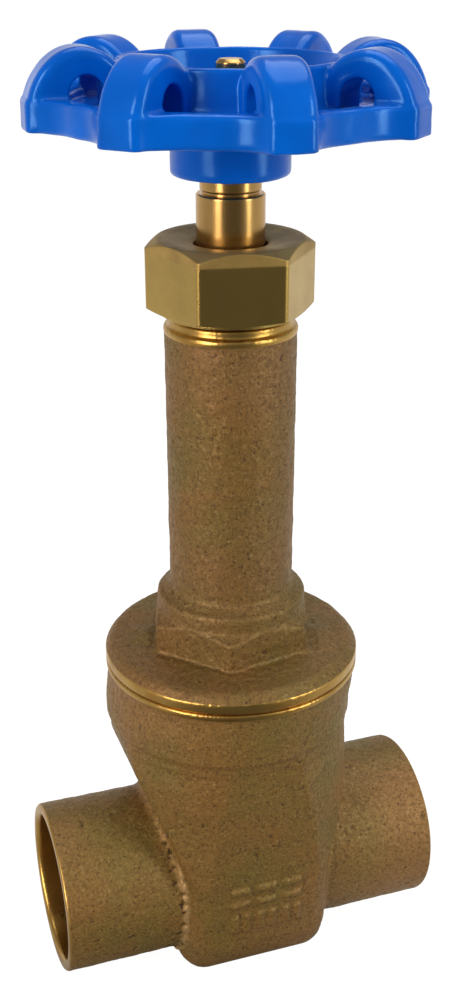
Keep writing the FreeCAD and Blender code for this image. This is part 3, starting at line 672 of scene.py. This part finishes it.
def make_camera():
    """Camera at the viewing angle of a product shot from the front left."""
    place, forward = camera_basis()
    data = bpy.data.cameras.new("camera")
    data.sensor_width = 36.0
    data.lens = 48.13
    camera = bpy.data.objects.new("camera", data)
    camera.location = place
    camera.rotation_mode = "QUATERNION"
    camera.rotation_quaternion = forward.to_track_quat("-Z", "Y")
    data.clip_start = 0.005
    data.clip_end = 20.0
    bpy.context.scene.collection.objects.link(camera)
    bpy.context.scene.camera = camera


def make_light(name, bearing, elevation, distance, width, height, watts, colour=(1, 1, 1)):
    """Soft rectangular light that faces the object; the bearing is counted from the camera's side."""
    place, forward = camera_basis()
    toward = Vector((place.x, place.y, 0)).normalized()
    turn = Matrix.Rotation(math.radians(bearing), 3, "Z")
    lift = math.radians(elevation)
    direction = (turn @ toward) * math.cos(lift) + Vector((0, 0, 1)) * math.sin(lift)
    middle = Vector((0, 0, 0.5 * (cad_box[0].z + cad_box[1].z)))
    data = bpy.data.lights.new(name, "AREA")
    data.shape = "RECTANGLE"
    data.size = width
    data.size_y = height
    data.energy = watts
    data.color = colour
    lamp = bpy.data.objects.new(name, data)
    lamp.location = middle + direction * distance
    lamp.rotation_mode = "QUATERNION"
    lamp.rotation_quaternion = (-direction).to_track_quat("-Z", "Y")
    bpy.context.scene.collection.objects.link(lamp)


def towards_camera(n, vector):
    """Cosine of a direction's bearing from the camera's side: 1 in front, -1 behind the object."""
    place, forward = camera_basis()
    toward = Vector((place.x, place.y, 0)).normalized()
    flat = n.add("ShaderNodeVectorMath", operation="MULTIPLY")
    n.put(flat.inputs[0], vector)
    flat.inputs[1].default_value = (1, 1, 0)
    unit = n.add("ShaderNodeVectorMath", operation="NORMALIZE")
    n.put(unit.inputs[0], flat.outputs[0])
    dot = n.add("ShaderNodeVectorMath", operation="DOT_PRODUCT")
    n.put(dot.inputs[0], unit.outputs[0])
    dot.inputs[1].default_value = toward
    return dot.outputs["Value"]


def surround(n, facing):
    """Brightness of the room at eye level: dark round the camera, white behind the object."""
    return n.ramp(facing, -0.8, 0.7, ROOM_BEHIND, ROOM_IN_FRONT)


def make_floor():
    """Plain pale floor, bright to the camera and quieter in reflections."""
    mesh = bpy.data.meshes.new("floor")
    side = 6.0
    level = cad_box[0].z - 0.2 * MM
    corners = [(-side, -side, level), (side, -side, level), (side, side, level), (-side, side, level)]
    mesh.from_pydata(corners, [], [(0, 1, 2, 3)])
    floor = bpy.data.objects.new("floor", mesh)
    bpy.context.scene.collection.objects.link(floor)
    material, n, surface = new_material("pale_floor")
    surface.inputs["Roughness"].default_value = 0.9
    rays = n.add("ShaderNodeLightPath").outputs
    seen = rays["Is Camera Ray"]
    facing = towards_camera(n, n.place())
    mirrored = n.ramp(facing, 0.5, 0.9, 0.3, 0.05)
    scattered = n.ramp(facing, 0.5, 0.9, 0.45, 0.34)
    pale = n.blend(rays["Is Diffuse Ray"], mirrored, scattered)
    n.put(surface.inputs["Base Color"], n.blend(seen, pale, FLOOR_SEEN))
    surface.inputs["Specular IOR Level"].default_value = 0.0
    surface.inputs["Emission Color"].default_value = (1, 1, 1, 1)
    glow = n.add("ShaderNodeMix", data_type="FLOAT")
    n.put(glow.inputs[0], seen)
    n.put(glow.inputs[2], n.maths("MULTIPLY", surround(n, facing), FLOOR_SHARE))
    n.put(glow.inputs[3], FLOOR_WHITE)
    n.put(surface.inputs["Emission Strength"], glow.outputs[0])
    mesh.materials.append(material)


def make_world():
    """Studio surround: white to the camera, dark round the camera, bright behind the object."""
    world = bpy.data.worlds.new("studio")
    bpy.context.scene.world = world
    world.use_nodes = True
    world.node_tree.nodes.clear()
    n = Nodes(world.node_tree)
    direction = n.add("ShaderNodeTexCoord").outputs["Generated"]
    high = n.ramp(n.split(direction)[2], 0.0, 0.5)
    level = n.add("ShaderNodeMix", data_type="FLOAT")
    n.put(level.inputs[0], high)
    n.put(level.inputs[2], surround(n, towards_camera(n, direction)))
    n.put(level.inputs[3], ROOM_OVERHEAD)
    seen = n.add("ShaderNodeLightPath").outputs["Is Camera Ray"]
    strength = n.add("ShaderNodeMix", data_type="FLOAT")
    n.put(strength.inputs[0], seen)
    n.put(strength.inputs[2], level.outputs[0])
    n.put(strength.inputs[3], ROOM_WHITE)
    background = n.add("ShaderNodeBackground")
    background.inputs["Color"].default_value = (1, 1, 1, 1)
    n.put(background.inputs["Strength"], strength.outputs[0])
    out = n.add("ShaderNodeOutputWorld")
    n.link(background.outputs[0], out.inputs["Surface"])


def make_studio():
    make_world()
    make_floor()
    make_light("key_left", -41, 15, distance=0.9, width=0.3, height=0.9, watts=7.5, colour=WARM_LIGHT)
    make_light("key_right", 62, 15, distance=0.9, width=0.22, height=0.9, watts=4.5, colour=COOL_LIGHT)
    make_light("top", 150, 75, distance=1.0, width=0.8, height=0.8, watts=5.0)
    bpy.context.scene.view_settings.view_transform = "Standard"


# ---- Build ----------------------------------------------------------------

bronze = plain_bronze()
brass = machined_brass("machined_brass", srgb(*BRASS), BRASS_ROUGHNESS)
stem_metal = machined_brass("stem_bronze", srgb(*STEM_BRONZE), STEM_ROUGHNESS)
enamel = blue_enamel()

# The body's bronze is the bonnet's drawn lighter, painted light standing in for light from below and in
# front.
make_body(bronze_casting("body_bronze_painted_lighter", turned_on_body, BODY_PAINTED_LIGHT_GAIN))
make_bonnet(bronze_casting("bonnet_bronze", turned_on_bonnet))
make_handwheel(enamel)
finish_node("gate_wedge", bronze)
finish_node("stem", stem_metal)
nut_brass = machined_brass("nut_brass", srgb(*BRASS), BRASS_ROUGHNESS, NUT_HIGH.z - NUT_CHAMFER)
finish_node("packing_nut", nut_brass)
for node in ("packing_gland", "wheel_nut"):
    finish_node(node, brass)
finish_node("wheel_plate", plain_plate())
packing = graphite_packing()
for node in sorted(NODES):
    if node.startswith("packing_ring"):
        finish_node(node, packing)
make_studio()
make_camera()
